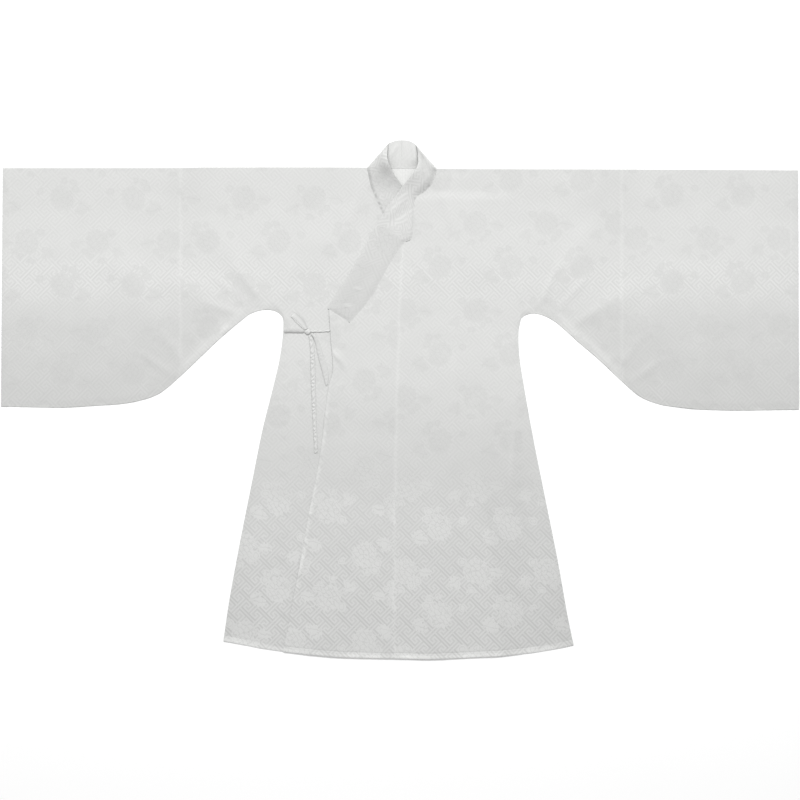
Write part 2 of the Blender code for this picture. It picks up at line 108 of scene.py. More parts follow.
# Folds and creases: foot x, y, head x, y, half width, height
largeFolds = [
    (124.8, 240, 132, -384, 30, 6), (187, 24, 221, -480, 34, 7), (273, 72, 259, -384, 26, 5),
    (-324, -190, -360, -530, 26, 6), (-132, -72, -149, -600, 30, 5), (-72, -288, -67, -600, 28, 4),
    (60, -190, 77, -610, 26, 4), (331, -240, 374, -560, 26, 5), (-331, 240, -468, 444, 32, 5),
    (-372, 200, -600, 312, 32, 4), (-547, 96, -672, 360, 36, 5), (-720, 24, -768, 336, 36, 4),
    (348, 232, 480, 444, 32, 5), (396, 176, 624, 288, 32, 4), (552, 72, 660, 348, 36, 5),
    (732, 16, 773, 324, 36, 4), (132, 480, 187, 260, 42, 5), (-144, 480, -205, 300, 42, 4),
]
creases = [
    (128.6, 110, 128.6, -180, 7, 1.6), (172.8, -2, 208.8, -302, 11, 2.2),
    (271, -65, 261.6, -213.6, 6, 1.5), (278.4, 110, 271.2, -2, 6, -1.2),
    (19.2, 331, 88.8, 249.6, 4.5, -1), (-161.5, 118, -146, 92, 4, 2.4),
    (-137.8, 86, -147, 36, 4, -2.2), (-150, 120, -132, 70, 6, 1.6), (-156, 184, -135.6, 180, 3, 1),
    (-331, 233, -403, 331, 6, 1.6), (-360, 226, -451, 300, 6, 1.4), (-384, 202, -480, 240, 7, 1.4),
    (-278, 240, -259, 331, 6, 1.3), (336, 226, 384, 331, 6, 1.6), (374, 211, 461, 307, 6, 1.4),
    (408, 173, 509, 240, 7, 1.4), (293, 226, 274, 317, 6, 1.3), (-518, 82, -576, 168, 6, 1.5),
    (-538, 53, -624, 115, 6, 1.5), (523, 67, 581, 158, 6, 1.5), (547, 38, 634, 101, 6, 1.5),
    (532, 92, 530, 52, 4, -2.4), (500, 84, 520, 112, 4, 1.8), (516, 70, 508, 96, 3.5, -1.6),
    (-473, 196, -474, 142, 6, -2.2), (-410, 178, -428, 156, 4, 1.8),
    (-426, 190, -446, 158, 4, 1.6), (96, 552, 163, 546, 7, -1.4), (92, 543, 122, 408, 9, 1.6),
    (-84, 538, -132, 384, 9, 1.3), (-216, -338, -244, -427, 6, 1.5),
    (-336, -384, -365, -560, 10, 1.8), (72, -480, 82, -600, 9, 1.4),
    (-96, -384, -106, -600, 9, 1.5), (312, -384, 338, -590, 9, 1.7),
    (206, -384, 233, -600, 9, 1.5), (-816, 470, -806, 20, 15, 1.2), (-672, 500, -684, 60, 15, 1),
    (720, 470, 732, 10, 15, 1.1), (840, 490, 832, 10, 15, 1.1),
]
# painted highlight along a crease in the skirt: foot x, y, head x, y, half width, strength
paintedCreaseHighlight = [(271, -65, 261.6, -213.6, 5, 0.14)]

cloth = {
    "wall": 0.6,
    "wave": 0.35,  # height of its soft waves
    "folds": 0.38,  # share of the large folds' height
    "hem": 12.5,
    "rise": 0.45,  # of a turned hem
    "groove": 0.35,  # along its sewn line
    "rightLeast": -0.9,  # how deep the lie of the right front and the overlap may go
    "outerLeast": -0.5,
    "lowest": 0.9,  # height of the upper face where it is pressed flat
}


def curveAt(table, at):  # smooth curve through rows of place and value
    rows = np.asarray(table, float)
    xs, ys = rows[:, 0], rows[:, 1]
    at = np.clip(np.asarray(at, float), xs[0], xs[-1])
    row = np.clip(np.searchsorted(xs, at, side="right") - 1, 0, len(xs) - 2)
    low = np.maximum(np.arange(len(xs)) - 1, 0)
    high = np.minimum(np.arange(len(xs)) + 1, len(xs) - 1)
    slope = (ys[high] - ys[low]) / (xs[high] - xs[low])
    span = xs[row + 1] - xs[row]
    t = (at - xs[row]) / span
    return (ys[row] * (1 + 2 * t) * (1 - t) ** 2 + slope[row] * span * t * (1 - t) ** 2
            + ys[row + 1] * t * t * (3 - 2 * t) + slope[row + 1] * span * t * t * (t - 1))


def ease(value, start, end):
    t = np.clip((value - start) / (end - start), 0.0, 1.0)
    return t * t * (3 - 2 * t)


def centreAt(y):
    share = np.clip((np.asarray(y, float) - hemLevel) / (centreBend - hemLevel), 0.0, 1.0)
    return centreFoot + (centreTop - centreFoot) * share ** 2.5


def ridges(table, x, y, fade):  # fade: how blunt the ends are, the smaller the blunter
    total = np.zeros_like(x)
    for x0, y0, x1, y1, halfWidth, height in table:
        dx, dy = x1 - x0, y1 - y0
        t = np.clip(((x - x0) * dx + (y - y0) * dy) / (dx * dx + dy * dy), 0.0, 1.0)
        away = np.hypot(x - x0 - t * dx, y - y0 - t * dy) / halfWidth
        share = np.clip(4 * t * (1 - t), 0, 1) ** fade
        total += height * share * np.exp(-away * away)
    return total


def waves(x, y):  # unevenness of cloth that a hand has smoothed out
    total = np.zeros_like(x)
    for i, (length, angle, size) in enumerate([(210, 18, 1.0), (150, 76, 0.9), (118, -35, 0.8),
                                               (86, 55, 0.55), (64, -70, 0.4), (47, 12, 0.3)]):
        a = math.radians(angle)
        bent = 22 * np.sin((x * math.sin(a) - y * math.cos(a)) / (length * 0.7) + i)
        run = x * math.cos(a) + y * math.sin(a) + bent
        total += size * np.sin(2 * math.pi * run / length + 1.7 * i)
    return total * cloth["wave"] * 0.5


def hemForm(along, away, width):  # turned edge, its sewn line and the ripples beside it
    band = cloth["rise"] * (1.0 - ease(away, width - 0.8, width + 0.8))
    sunk = cloth["groove"] * np.exp(-((away - width) / 1.3) ** 2)
    ripple = 0.28 * np.sin(along / 2.3 + 1.6 * np.sin(along / 17.0))
    return band - sunk + ripple * np.exp(-((away - width) / 5.5) ** 2)


def seamForm(along, away):  # two pieces sewn edge to edge
    pucker = 0.08 * np.sin(along / 2.7 + 1.9 * np.sin(along / 23.0))
    return (0.12 + pucker) * np.exp(-((np.abs(away) - 4.0) / 3.0) ** 2) - 0.2 * np.exp(
        -(away / 1.3) ** 2)


def sewing(x, y):
    total = hemForm(x, y - curveAt(hemLine, x), cloth["hem"])
    for side in sides:
        total = total + seamForm(y, x - sleeveSeam[side])
    return total


def puckers(x, y):  # beside the seams under the arms
    total = np.zeros_like(x)
    for side, sign in sides.items():
        away = y - curveAt(underSleeve[side], x)
        below = ease(sign * x, 288.0, 300.0) * np.exp(-((away - 6.0) / 6.0) ** 2)
        total = total + 0.55 * below * np.sin((x + 0.5 * y) / 4.4 + 2.4 * np.sin(x / 21.0))
    return total


def formOf(x, y, least):
    return np.maximum(cloth["folds"] * ridges(largeFolds, x, y, 0.9)
                      + ridges(creases, x, y, 0.7) + waves(x, y) + puckers(x, y), least)


def lain(x, y):  # hems go down to the table
    return np.clip(1 - (y - curveAt(hemLine, x)) / 15.0, 0, 1)


def pressed(x, y):  # and so do the cuffs and the seams at the sides and under the arms
    total = np.zeros_like(x)
    for side, sign in sides.items():
        beyond = sign * x > sign * armpit[side][0]
        inward = np.where(y < armpit[side][1], sign * (curveAt(sideSeam[side], y) - x), 99.0)
        away = np.where(beyond, 0.75 * (y - curveAt(underSleeve[side], x)), inward)
        cuff = sign * (curveAt(cuffEdge[side], y) - x)
        for distance, fall in ((away, 1.5), (cuff, 0.8)):
            total = np.maximum(total, fall * np.clip(1 - distance / 9.0, 0, 1) ** 1.5)
    return total


def paintedLightOf(x, y):  # painted highlights along hems, seams and underarms, and painted shade
    hem = y - curveAt(hemLine, x)
    uneven = 0.72 + 0.16 * np.sin(x / 31.0 + 2 * np.sin(x / 83.0)) + 0.1 * np.sin(x / 11.0)
    bright = 0.8 + 0.7 * ease(x, -330.0, -230.0) * ease(x, 330.0, 100.0)
    total = bright * uneven * np.exp(-((hem - 5.0) / 5.0) ** 2)
    for side, sign in sides.items():
        away = y - curveAt(underSleeve[side], x)
        reach = ease(sign * x, 350.0, 420.0) * ease(sign * x, 540.0, 515.0)
        total = total + 0.4 * reach * np.exp(-((away - 14.0) / 15.0) ** 2)
        total = total + 0.4 * ease(sign * x, 300.0, 330.0) * np.exp(-(away / 7.0) ** 2)
        total = total + 0.17 * np.exp(-((x - sleeveSeam[side]) / 3.0) ** 2)
    total = total + 0.2 * np.exp(-((x - centreAt(y)) / 3.0) ** 2) * ease(y, 380.0, 360.0)
    beyond = ease(x + 0.12 * (y + 2.0) - 172.8, -3.0, 3.0) * ease(x, 440.0, 425.0)
    total = total - 0.12 * beyond * ease(y, 20.0, -250.0)  # painted shade past the long skirt fold
    return total + ridges(paintedCreaseHighlight, x, y, 0.6)


# painted highlight streak along the turned edge of the flap, over the other painted light
def flapPaintedLight(x, y):
    edge = np.exp(-((x - curveAt(flapEdge, y) - 4.5) / 4.0) ** 2) * ease(y, 60.0, -60.0)
    uneven = 0.5 + 0.3 * np.sin(y / 9.0 + 2 * np.sin(y / 37.0)) + 0.3 * np.sin(y / 4.1 + 0.3 * x)
    return paintedLightOf(x, y) + 0.5 * edge * uneven * ease(y, -500.0, -440.0)


def rightFace(x, y):  # flat where the overlap covers it
    bare = ease(curveAt(coveredFrom, y) - x, 22.0, 84.0)
    face = (formOf(x, y, cloth["rightLeast"]) + sewing(x, y)) * bare
    face = face - np.maximum(lain(x, y), pressed(x, y))
    return lowLayer + solidWall + np.maximum(face, -1.8)


def outerLevel(x, y):
    overInner = np.where(y > 400, ease(y, 505.0, 478.0), 1.0)
    beyond = 1.0 - ease(x, 216.0, 288.0)
    high = highLayer + (overBand - highLayer) * ease(y, 110.0, 170.0)
    return lowLayer + (high - lowLayer) * overInner * beyond


def outerFace(x, y):
    middle = seamForm(y, x - centreAt(y)) * ease(y, 380.0, 372.0)
    face = np.maximum(formOf(x, y, cloth["outerLeast"]) + sewing(x, y) + middle, -0.85)
    down = np.maximum((1.0 + 0.55 * (outerLevel(x, y) - lowLayer)) * lain(x, y), pressed(x, y))
    return np.maximum(outerLevel(x, y) + solidWall + face - down, cloth["lowest"])


def innerFace(x, y):  # hidden, so it is plain
    return lowLayer + solidWall - 0.9 * lain(x, y - panels["inner"]["shorter"])


def flapFace(x, y):  # the free edge is turned in and settles on the front below
    away = x - curveAt(flapEdge, y)
    lifted = ease(y, 52.0, 84.0) * ease(y, 216.0, 200.0)
    settle = (0.8 - 1.5 * lifted) * np.clip(1 - away / 9.0, 0, 1) ** 2
    crumpled = 0.4 * np.sin(y / 3.4 + 0.35 * x + 1.5 * np.sin(y / 23.0)) * ease(y, 40.0, -40.0)
    return (outerFace(x, y) - settle + 0.6 * hemForm(y, away, 8.0)
            + crumpled * np.exp(-((away - 4.5) / 4.0) ** 2))


def spaced(start, end, step, power=1.0):
    count = max(int(abs(end - start) / step), 1)
    return start + (end - start) * np.linspace(0, 1, count + 1) ** power


def smoothRun(points, step):  # more rows along a smooth line, the given ones kept
    rows = np.asarray(points, float)
    out = []
    for i in range(len(rows) - 1):
        a, b = rows[max(i - 1, 0)], rows[i]
        c, d = rows[i + 1], rows[min(i + 2, len(rows) - 1)]
        count = max(int(np.linalg.norm((c - b)[:2]) / step), 2)
        for t in np.linspace(0, 1, count, endpoint=False):
            out.append(b + 0.5 * t * (c - a + t * (2 * a - 5 * b + 4 * c - d
                                                   + t * (3 * (b - c) + d - a))))
    out.append(rows[-1])
    return np.array(out)


def closerBy(count, distances, length):  # shares 0 to 1, closer by the far end
    extra = 1 - np.array(distances) / length
    base = np.linspace(0, 1, count + 1)
    return np.unique(np.concatenate([base[base < extra.min() - 0.3 / count], extra, [1.0]]))


def closerAtEnds(count, near):
    return np.concatenate([[0, near], np.linspace(0, 1, count)[1:-1], [1 - near, 1]])[None, :]


def lengthAlong(points):
    steps = np.linalg.norm(np.diff(points, axis=0), axis=1)
    return np.concatenate([[0], np.cumsum(steps)])


def placed(name, data):
    made = bpy.data.objects.new(name, data)
    bpy.context.scene.collection.objects.link(made)
    return made


def neckRise(y):  # how the back stands up to the neck band
    return 0.65 * ease(y, 535.0, 555.0)


hemSteps = [1.2, 3.5, 6.0, 8.5, 10.6, 11.8, 12.8, 14.0, 16.0, 19.0, 23.0]  # rows above the hem
# How the pieces lie in the woven cloth: direction along x and y, then the start
grains = {"body_right": (1, 1, 47.0, -60.6), "overlap_outer": (-1, -1, 10.0, -51.0),
          "sleeve_right": (-1, 1, -34.0, 44.2), "sleeve_left": (1, 1, -47.0, 36.0)}


class Cut:  # one piece of cloth, made of grids whose edges meet

    def __init__(self, name):
        self.name = name
        self.grain = grains.get(name.replace("_cloth", ""), (1, 1, 0.0, 0.0))
        self.work = bmesh.new()
        self.weave = self.work.loops.layers.uv.new("weave")
        # painted highlight and painted shade for each vertex, added to the silk's colour
        self.paintedLight = self.work.verts.layers.float.new("paintedLight")

    def patch(self, x, y, z, u=None, v=None, paintedLight=None):
        if u is None:
            alongX, alongY, startX, startY = self.grain
            u, v = alongX * x + startX, alongY * y + startY
        columns, rows = x.shape
        made = bmesh.ops.create_grid(self.work, x_segments=columns - 1, y_segments=rows - 1,
                                     size=1.0)
        places = {}
        for vert in made["verts"]:
            places[vert] = (round((vert.co.x + 1) / 2 * (columns - 1)),
                            round((vert.co.y + 1) / 2 * (rows - 1)))
        for face in {face for vert in places for face in vert.link_faces}:
            face.smooth = True
            for loop in face.loops:
                at = places[loop.vert]
                loop[self.weave].uv = (u[at] * mm, v[at] * mm)
        for vert, at in places.items():
            vert.co = (x[at] * mm, (y[at] + shiftY) * mm, z[at] * mm)
            if paintedLight is not None:
                vert[self.paintedLight] = paintedLight[at]

    def foldOver(self, ends, clockwise):  # from an edge of the front to the back
        run = np.gradient(ends[:, :2], axis=0)
        run /= np.maximum(np.linalg.norm(run, axis=1), 1e-9)[:, None]
        turn = np.radians(np.arange(0, 181, 30))[None, :]
        out = np.stack([run[:, 1], -run[:, 0]], 1) * (1 if clockwise else -1)
        reach = edgeRound * np.sin(turn)
        half = ends[:, 2:3] / 2
        x = ends[:, 0:1] + out[:, 0:1] * reach
        y = ends[:, 1:2] + out[:, 1:2] * reach
        self.patch(x, y, half + half * np.cos(turn))

    def finish(self, wall):
        work = self.work
        bmesh.ops.remove_doubles(work, verts=work.verts, dist=3e-6)
        bmesh.ops.recalc_face_normals(work, faces=work.faces)
        highest = max(work.faces, key=lambda face: face.calc_center_median().z)
        if highest.normal.z < 0:
            bmesh.ops.reverse_faces(work, faces=work.faces)
        for edge in work.edges:
            edge.smooth = not edge.is_boundary
        mesh = bpy.data.meshes.new(self.name)
        work.to_mesh(mesh)
        work.free()
        made = placed(self.name, mesh)
        shell = made.modifiers.new("wall", "SOLIDIFY")
        shell.thickness = wall * mm
        shell.offset = -1.0
        shell.material_offset = 1
        return made


def dress(name, looks, slot, size, restsOn, maker, *values):  # make, dress and attach a piece
    made = maker(name + "_cloth", *values)
    for look in looks:
        made.data.materials.append(look)
    if not size.get("looksOnly"):
        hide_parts(name)
    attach(made, "root")
    print(name, "made")
    return made


bodySheet = {
    "columnStep": 6.0,  # across the body
    "sleeveStep": 5.4,
    "neckStep": 7.0,
    "upperRows": 64,
    "backRows": 5,
    "edgeShare": 0.0025,  # width of the first and last row of the upper part
    "lowerRows": 118,
    "lowerLength": 800.0,  # from under the arm to the hem
    "flat": (0.55, 2.36),
    "area": 0.97,
}


def bodyHalf(name, side, face):  # back and front in one length, over the shoulder
    right, sign = side == "right", sides[side]
    armX, armY = armpit[side]
    seam = sleeveSeam[side] - sign * seamGap
    sleeveXs = spaced(armX, seam, bodySheet["sleeveStep"], 1.25)[::-1]
    shoulderXs = spaced(armX, neckEdge[side][0][0], bodySheet["columnStep"])
    shoulderXs = np.insert(shoulderXs, 1, armX - sign * 0.8)
    shoulder = np.stack([shoulderXs, curveAt(topLine[side], shoulderXs)], 1)
    heads = np.concatenate([shoulder, smoothRun(neckEdge[side], bodySheet["neckStep"])[1:]])
    shares = ((heads[:, 0] - armX) / (centreTop - armX))[:, None]
    lower = closerBy(bodySheet["lowerRows"], hemSteps, bodySheet["lowerLength"])[None, 1:]
    footX = sideSeam[side][0][1] + shares * (centreAt(hemLevel) - sideSeam[side][0][1])
    cut = Cut(name)

    def layer(back):
        vs = closerAtEnds(bodySheet["backRows" if back else "upperRows"], bodySheet["edgeShare"])
        xs = np.repeat(sleeveXs[:, None], vs.shape[1], 1)
        top, bottom = curveAt(topLine[side], xs), curveAt(underSleeve[side], xs)
        ys = top + vs * (bottom - top)
        headY = heads[:, 1:2].copy()
        if back:
            headY[len(shoulder):] = backNeck
        y = headY + vs * (armY - headY)
        x = armX + shares * (centreAt(y) + sign * seamGap - armX)
        yLow = armY + lower * (curveAt(hemLine, footX) - armY)
        edge = curveAt(sideSeam[side], yLow)
        xLow = edge + shares * (centreAt(yLow) + sign * seamGap - edge)
        x, y = np.concatenate([x, xLow], 1), np.concatenate([y, yLow], 1)
        z, zs = neckRise(y) * ease(np.abs(x - 4.0), 85.0, 70.0), np.zeros_like(xs)
        if not back:
            z, zs = face(x, y), face(xs, ys)
        cut.patch(xs, ys, zs, paintedLight=paintedLightOf(xs, ys))
        cut.patch(x, y, z, paintedLight=None if back else paintedLightOf(x, y))
        return np.stack([xs, ys, zs], 2), np.stack([x, y, z], 2), vs.shape[1]

    sleeveGrid, bodyGrid, count = layer(False)
    layer(True)
    cut.foldOver(np.concatenate([sleeveGrid[:-1, 0], bodyGrid[:len(shoulder), 0]])[::-1], right)
    cut.foldOver(np.concatenate([sleeveGrid[:-1, -1], bodyGrid[0, count - 1:]]), right)
    return cut.finish(cloth["wall"])


sleeveSheet = {
    "columns": 72,
    "rows": 92,
    "backRows": 5,
    "edgeShare": 0.0015,
    "cuffHem": 19.0,
    "cuffSteps": [1.2, 4.0, 8.0, 12.0, 15.5, 17.8, 19.0, 20.2, 22.5, 26.0],
    "flat": (1.16, 0.44),
    "area": 0.495,
}


def sleeveTube(name, side):
    right, sign = side == "right", sides[side]
    seam = sleeveSeam[side] + sign * seamGap
    cuffX = topLine[side][0 if right else -1][0]
    shares = closerBy(sleeveSheet["columns"], sleeveSheet["cuffSteps"], abs(cuffX - seam))[:, None]
    guess = seam + shares * (cuffX - seam)
    top, bottom = curveAt(topLine[side], guess), curveAt(underSleeve[side], guess)
    cut = Cut(name)

    def layer(back):
        vs = closerAtEnds(sleeveSheet["backRows" if back else "rows"], sleeveSheet["edgeShare"])
        y = top + vs * (bottom - top)
        x = seam + shares * (curveAt(cuffEdge[side], y) - seam)
        z = np.zeros_like(x)
        if not back:
            away = np.abs(curveAt(cuffEdge[side], y) - x)
            z = (lowLayer + solidWall + formOf(x, y, cloth["rightLeast"])
                 + seamForm(y, x - sleeveSeam[side])
                 + hemForm(y, away, sleeveSheet["cuffHem"]) - pressed(x, y))
            z = np.maximum(z, cloth["lowest"])
        cut.patch(x, y, z, paintedLight=paintedLightOf(x, y))
        return np.stack([x, y, z], 2)

    front = layer(False)
    layer(True)
    cut.foldOver(front[:, 0], right)
    cut.foldOver(front[:, -1], not right)
    return cut.finish(cloth["wall"])


panels = {
    "outer": {
        "rows": 140,
        "edgeSteps": [0, 1.5, 3.0, 4.5, 6.0, 7.0, 8.0, 9.0, 11.0, 14.0],  # beside the free edge
        "columns": 30,
        "nextStep": 18,  # where the other columns start
        "width": 190,
        "shorter": 0.0,
        "flat": (0.285, 1.0),
        "area": 0.205,
    },
    "inner": {
        "rows": 60,
        "columnStep": 9.0,
        "width": 200,
        "shorter": 8.0,  # how much higher its hem lies
        "flat": (0.21, 0.99),
        "area": 0.155,
    },
    "length": 820.0,
}


def longPanel(name, panel, heads, fromEdge, toEdge, shares, face):
    line = smoothRun(heads, 6.0)
    known = (line[:, 0] - fromEdge(line[:, 1])) / (toEdge(line[:, 1]) - fromEdge(line[:, 1]))
    order = np.argsort(known)
    shares = shares[:, None]
    headY = np.interp(shares, known[order], line[order, 1])
    footX = fromEdge(hemLevel) + shares * (toEdge(hemLevel) - fromEdge(hemLevel))
    footY = curveAt(hemLine, footX) + panel["shorter"]
    y = headY + closerBy(panel["rows"], hemSteps, panels["length"])[None, :] * (footY - headY)
    x = fromEdge(y) + shares * (toEdge(y) - fromEdge(y))
    cut = Cut(name)
    cut.patch(x, y, face(x, y), paintedLight=flapPaintedLight(x, y))
    return cut.finish(cloth["wall"])


def outerOverlap(name):
    panel = panels["outer"]
    shares = np.concatenate([np.array(panel["edgeSteps"]) / panel["width"],
                             np.linspace(panel["nextStep"] / panel["width"], 1, panel["columns"])])
    return longPanel(name, panel, flapTop, lambda y: curveAt(flapEdge, y),
                     lambda y: centreAt(y) - seamGap, shares, flapFace)


def innerOverlap(name):
    panel = panels["inner"]
    shares = spaced(0, 1, panel["columnStep"] / panel["width"])
    return longPanel(name, panel, innerTop, lambda y: centreAt(y) + seamGap,
                     lambda y: curveAt(innerEdge, y), shares, innerFace)


collarBand = {
    # seam x, y, z, free edge x, y, z, how much the middle bulges
    "rows": [
        (111.4, 199.9, 3.1, 172.8, 237.6, 3.1, 0), (60.3, 286, 3.1, 122.4, 321.6, 3.1, 0),
        (6.6, 374.6, 3.1, 67.2, 412.1, 3.1, 0), (-18.7, 408.4, 3.1, 33.6, 460.8, 3.1, 0),
        (-40.2, 444.3, 3.1, 14.4, 494.4, 3.1, 0), (-59.4, 487.4, 3.7, 2.4, 518.4, 3.7, 0.5),
        (-69, 511.4, 4.4, -12, 537.6, 5.2, 1.5), (-73.4, 532.8, 4.6, -24, 559.2, 7.2, 2.5),
        (-76.2, 547.2, 4.6, -31, 582, 9, 3), (-77.2, 553.2, 4.4, -29.6, 602, 9.4, 2),
        (-78.2, 556.6, 3.6, -29.4, 610.6, 8, 1), (-78.6, 557.8, 2.1, -29.2, 614, 4.6, 0),
        (-78, 558.2, 0.6, -27.4, 615.8, 1.2, 0), (-74, 557.6, 0, -23, 617.8, 0, 0),
        (-56, 556.2, 0, -15, 620.8, 0, 0), (-30, 555.9, 0, -6, 622.9, 0, 0),
        (3, 555.9, 0, 4.8, 623.6, 0, 0), (36, 555.9, 0, 16, 622.8, 0, 0),
        (62, 556, 0, 26, 620.2, 0, 0), (83, 556.4, 0, 34, 615.6, 0, 0),
        (87, 556.6, 0.6, 38, 612.6, 1.4, 0), (87.8, 555.9, 2.4, 39.8, 609.8, 5.2, 0),
        (87.5, 553.8, 4.2, 40.6, 606, 9.2, 1), (86.6, 550.4, 5, 41.8, 599, 10.6, 2),
        (84.6, 544.8, 5, 43.2, 586, 10.8, 3), (76.2, 519, 5.4, 42.6, 564, 10.6, 3),
        (57.2, 498.6, 5.8, 28.8, 540, 9.6, 2.5), (35.5, 478.2, 6, 4.8, 511.2, 7.6, 1.5),
        (32, 434.4, 5.9, -14.4, 484.8, 6, 0.8), (28.2, 391.7, 5.6, -33.6, 458.4, 5.5, 0.5),
        (10.2, 380.3, 5.4, -57.6, 417.6, 5.3, 0.3), (5.1, 375.6, 5.3, -63, 408, 5.2, 0.3),
        (-26.9, 324.4, 5.3, -96, 345.6, 5.2, 0.3), (-53.3, 276.4, 5.3, -124.8, 297.6, 5.2, 0.3),
        (-82.1, 230.8, 5.3, -148.8, 259.2, 5.2, 0.3), (-120.2, 188, 5.3, -172.6, 220.8, 5.2, 0.3),
    ],
    "wall": 1.3,
    "across": 25,
    "rowStep": 3.5,
    "joinRows": [(15.964, 1.8, 3.7), (16.036, 4.2, 5.9)],  # either side of the seam at the back
    "rollWidth": 8.0,  # how wide the roll beside the seam is
    "stitches": 0.5,  # height of the stitches in the roll
    "stand": 10.5,  # how much higher the edge stands at the sides of the neck
    "creases": [(28.8, 465.6, -26.4, 422.4, 9, -1), (-112.8, 268.8, -91.2, 264, 3, 0.8),
                (-135.6, 228, -115.2, 223.2, 3, 0.8), (50, 590, 72, 540, 5, -1.6),
                (62, 596, 80, 562, 5, 0.8), (20, 500, -30, 440, 7, 0.8)],
    "neckCreases": [(-4.8, 614, -24, 580, 5, 1), (14, 618, 20, 560, 6, 0.6),
                    (30, 612, 36, 565, 4, 0.8)],
    # painted shade and painted highlights on the band, listed as the creases are
    "paintedShading": [(-44, 590, -34, 530, 13, -0.5), (52, 602, 55, 552, 5, -0.4),
               (-20, 400, 45, 470, 26, 0.2), (-150, 205, -70, 330, 14, -0.1),
               (-80, 566, -28, 618, 12, -0.4), (84, 566, 40, 618, 7, -0.25),
               (-80, 558, -65, 504, 3.5, -0.45), (-68, 512, -36, 442, 3, -0.5),
               (-66, 566, -52, 512, 12, -0.22), (58, 588, 72, 545, 6, -0.14)],
    "flat": (0.066, 1.12),
}


def neckBand(name):  # order is the number of a row in the table
    table = [list(row) + [i] for i, row in enumerate(collarBand["rows"])]
    for at, low, high in collarBand["joinRows"]:
        table.append([low, 555.9, 0.0, high, 623.6, 0.0, 0.0, at])
    rows = smoothRun(sorted(table, key=lambda row: row[7]), collarBand["rowStep"])
    order = rows[:, 7:8]
    width = np.linalg.norm(rows[:, 3:5] - rows[:, 0:2], axis=1)[:, None]
    front = ease(order, 12.5, 9.5) + ease(order, 20.5, 23.5)  # 0 at the back of the neck
    start = -(1.3 + 1.1 * ease(order, 28.0, 31.0)) / width * front
    t = start + (1 - start) * np.linspace(0, 1, collarBand["across"])[None, :] ** 1.15
    seam, free = rows[:, None, 0:3], rows[:, None, 3:6]
    x, y, z = np.moveaxis(seam + t[..., None] * (free - seam), 2, 0)
    outer = ease(order, 26.0, 27.5)  # on the outer overlap
    z = z + rows[:, 6:7] * 4 * np.abs(t) ** 0.6 * (1 - np.abs(t) ** 0.6)
    z = z + outer * cloth["folds"] * ridges(largeFolds, x, y, 0.9)
    panelTop = np.where(order < 16, lowLayer + solidWall, outerFace(x, y)) - 0.1
    wider = 1 + 1.4 * ease(order, 22.5, 24.0) * ease(order, 27.8, 26.2) + ease(order, 30.0, 32.0)
    # the roll rises from the panel below, and the edge stands up beside the neck
    roll = np.clip(t * width / (collarBand["rollWidth"] * wider), 0, 1)
    roll = 0.75 * np.sin(roll * math.pi / 2) + 0.25 * np.sqrt(1 - (1 - roll) ** 2)
    z = np.where(front > 0, z + (np.minimum(panelTop, z) - z) * (1 - roll) * front, z)
    standing = ease(order, 4.0, 6.5) * ease(order, 11.0, 6.5)  # at the right side of the neck
    standing = standing + 0.7 * ease(order, 21.5, 24.0) * ease(order, 28.0, 25.5)  # at the left
    z = z + standing * collarBand["stand"] * (np.clip((t - 0.2) / 0.8, 0, 1) ** 1.8 - 0.12)
    z = z - 0.5 * front * np.clip(1 - (1 - t) * width / 3.0, 0, 1) ** 2
    # the corners by the shoulders: up at the right, then pressed down where they are highest
    rise = 2.6 * ease(y, 540.0, 568.0) * ease(t, 0.35, 0.85) * ease(order, 12.0, 10.0)
    z = z + np.where(order < 16, rise, 0.0)
    lower = np.where(order < 16, 0.7 * np.maximum(z - 7.5, 0) * ease(y, 562.0, 608.0),
                     0.85 * np.maximum(z - 6.4, 0) * ease(y, 535.0, 600.0))
    z = z - front * lower * ease(t, 0.2, 0.9)
    z = z + front * (ridges(collarBand["creases"], x, y, 0.6) + 0.5 * waves(x * 2, y * 2))
    # the back of the neck bulges at both sides of its seam
    back = 1 - front
    join = np.exp(-((x - 3.0 - 0.03 * (y - 556.0)) / 0.9) ** 2)
    aside = np.abs(x - 4.0) / 32.0
    inside = 0.5 + 3.0 * np.clip(aside, 0, 1) ** 2.5 * ease(aside, 1.25, 1.0)
    inside = inside * ease(t, 0.0, 0.35)
    inside = inside + 0.35 - 0.7 * join
    z = z + back * (inside + ridges(collarBand["neckCreases"], x, y, 0.6))
    y = y - back * 0.4 * np.clip(1 - t * 4, 0, 1) * (np.abs(x - 4) < 70)
    middle = (rows[:, 0:2] + rows[:, 3:5]) / 2
    run = lengthAlong(middle)[:, None]
    # tight stitches in the roll
    beads = ease(order, 3.0, 3.6) * ease(order, 6.2, 5.4)
    beads = beads + ease(order, 24.6, 25.2) * ease(order, 27.2, 26.6)
    beads = beads * np.exp(-((t * width - 2.6) / 2.4) ** 2)
    beads = beads * np.sin(run / 1.9 + 1.5 * np.sin(run / 7.0)) * collarBand["stitches"]
    z = z + beads
    for end in (0, -1):  # the ends go down into the seams there
        x[end] += (x[end] - x[end - 1 if end else 1]) * 0.9
        y[end] += (y[end] - y[end - 1 if end else 1]) * 0.9
        z[end] = panelTop[end]
    for row, sunk in ((-2, 0.55), (-3, 0.2)):  # the foot settles
        z[row] = (1 - sunk) * z[row] + sunk * panelTop[row]
    cut = Cut(name)
    # painted highlights on the raised creases and stitches, with the band's listed painted shade
    # and highlights
    paintedLight = front * np.maximum(ridges(collarBand["creases"], x, y, 0.6), 0.0) * 0.3
    paintedLight = paintedLight + front * ridges(collarBand["paintedShading"], x, y, 0.3) + beads
    cut.patch(x, y, np.maximum(z, collarBand["wall"] * front), run + 0 * x, t * width + 0 * x,
              paintedLight)
    return cut.finish(collarBand["wall"])


tieCloth = {"wall": 1.0, "across": 9, "rowStep": 1.2, "crown": 0.4, "crumple": 0.7}

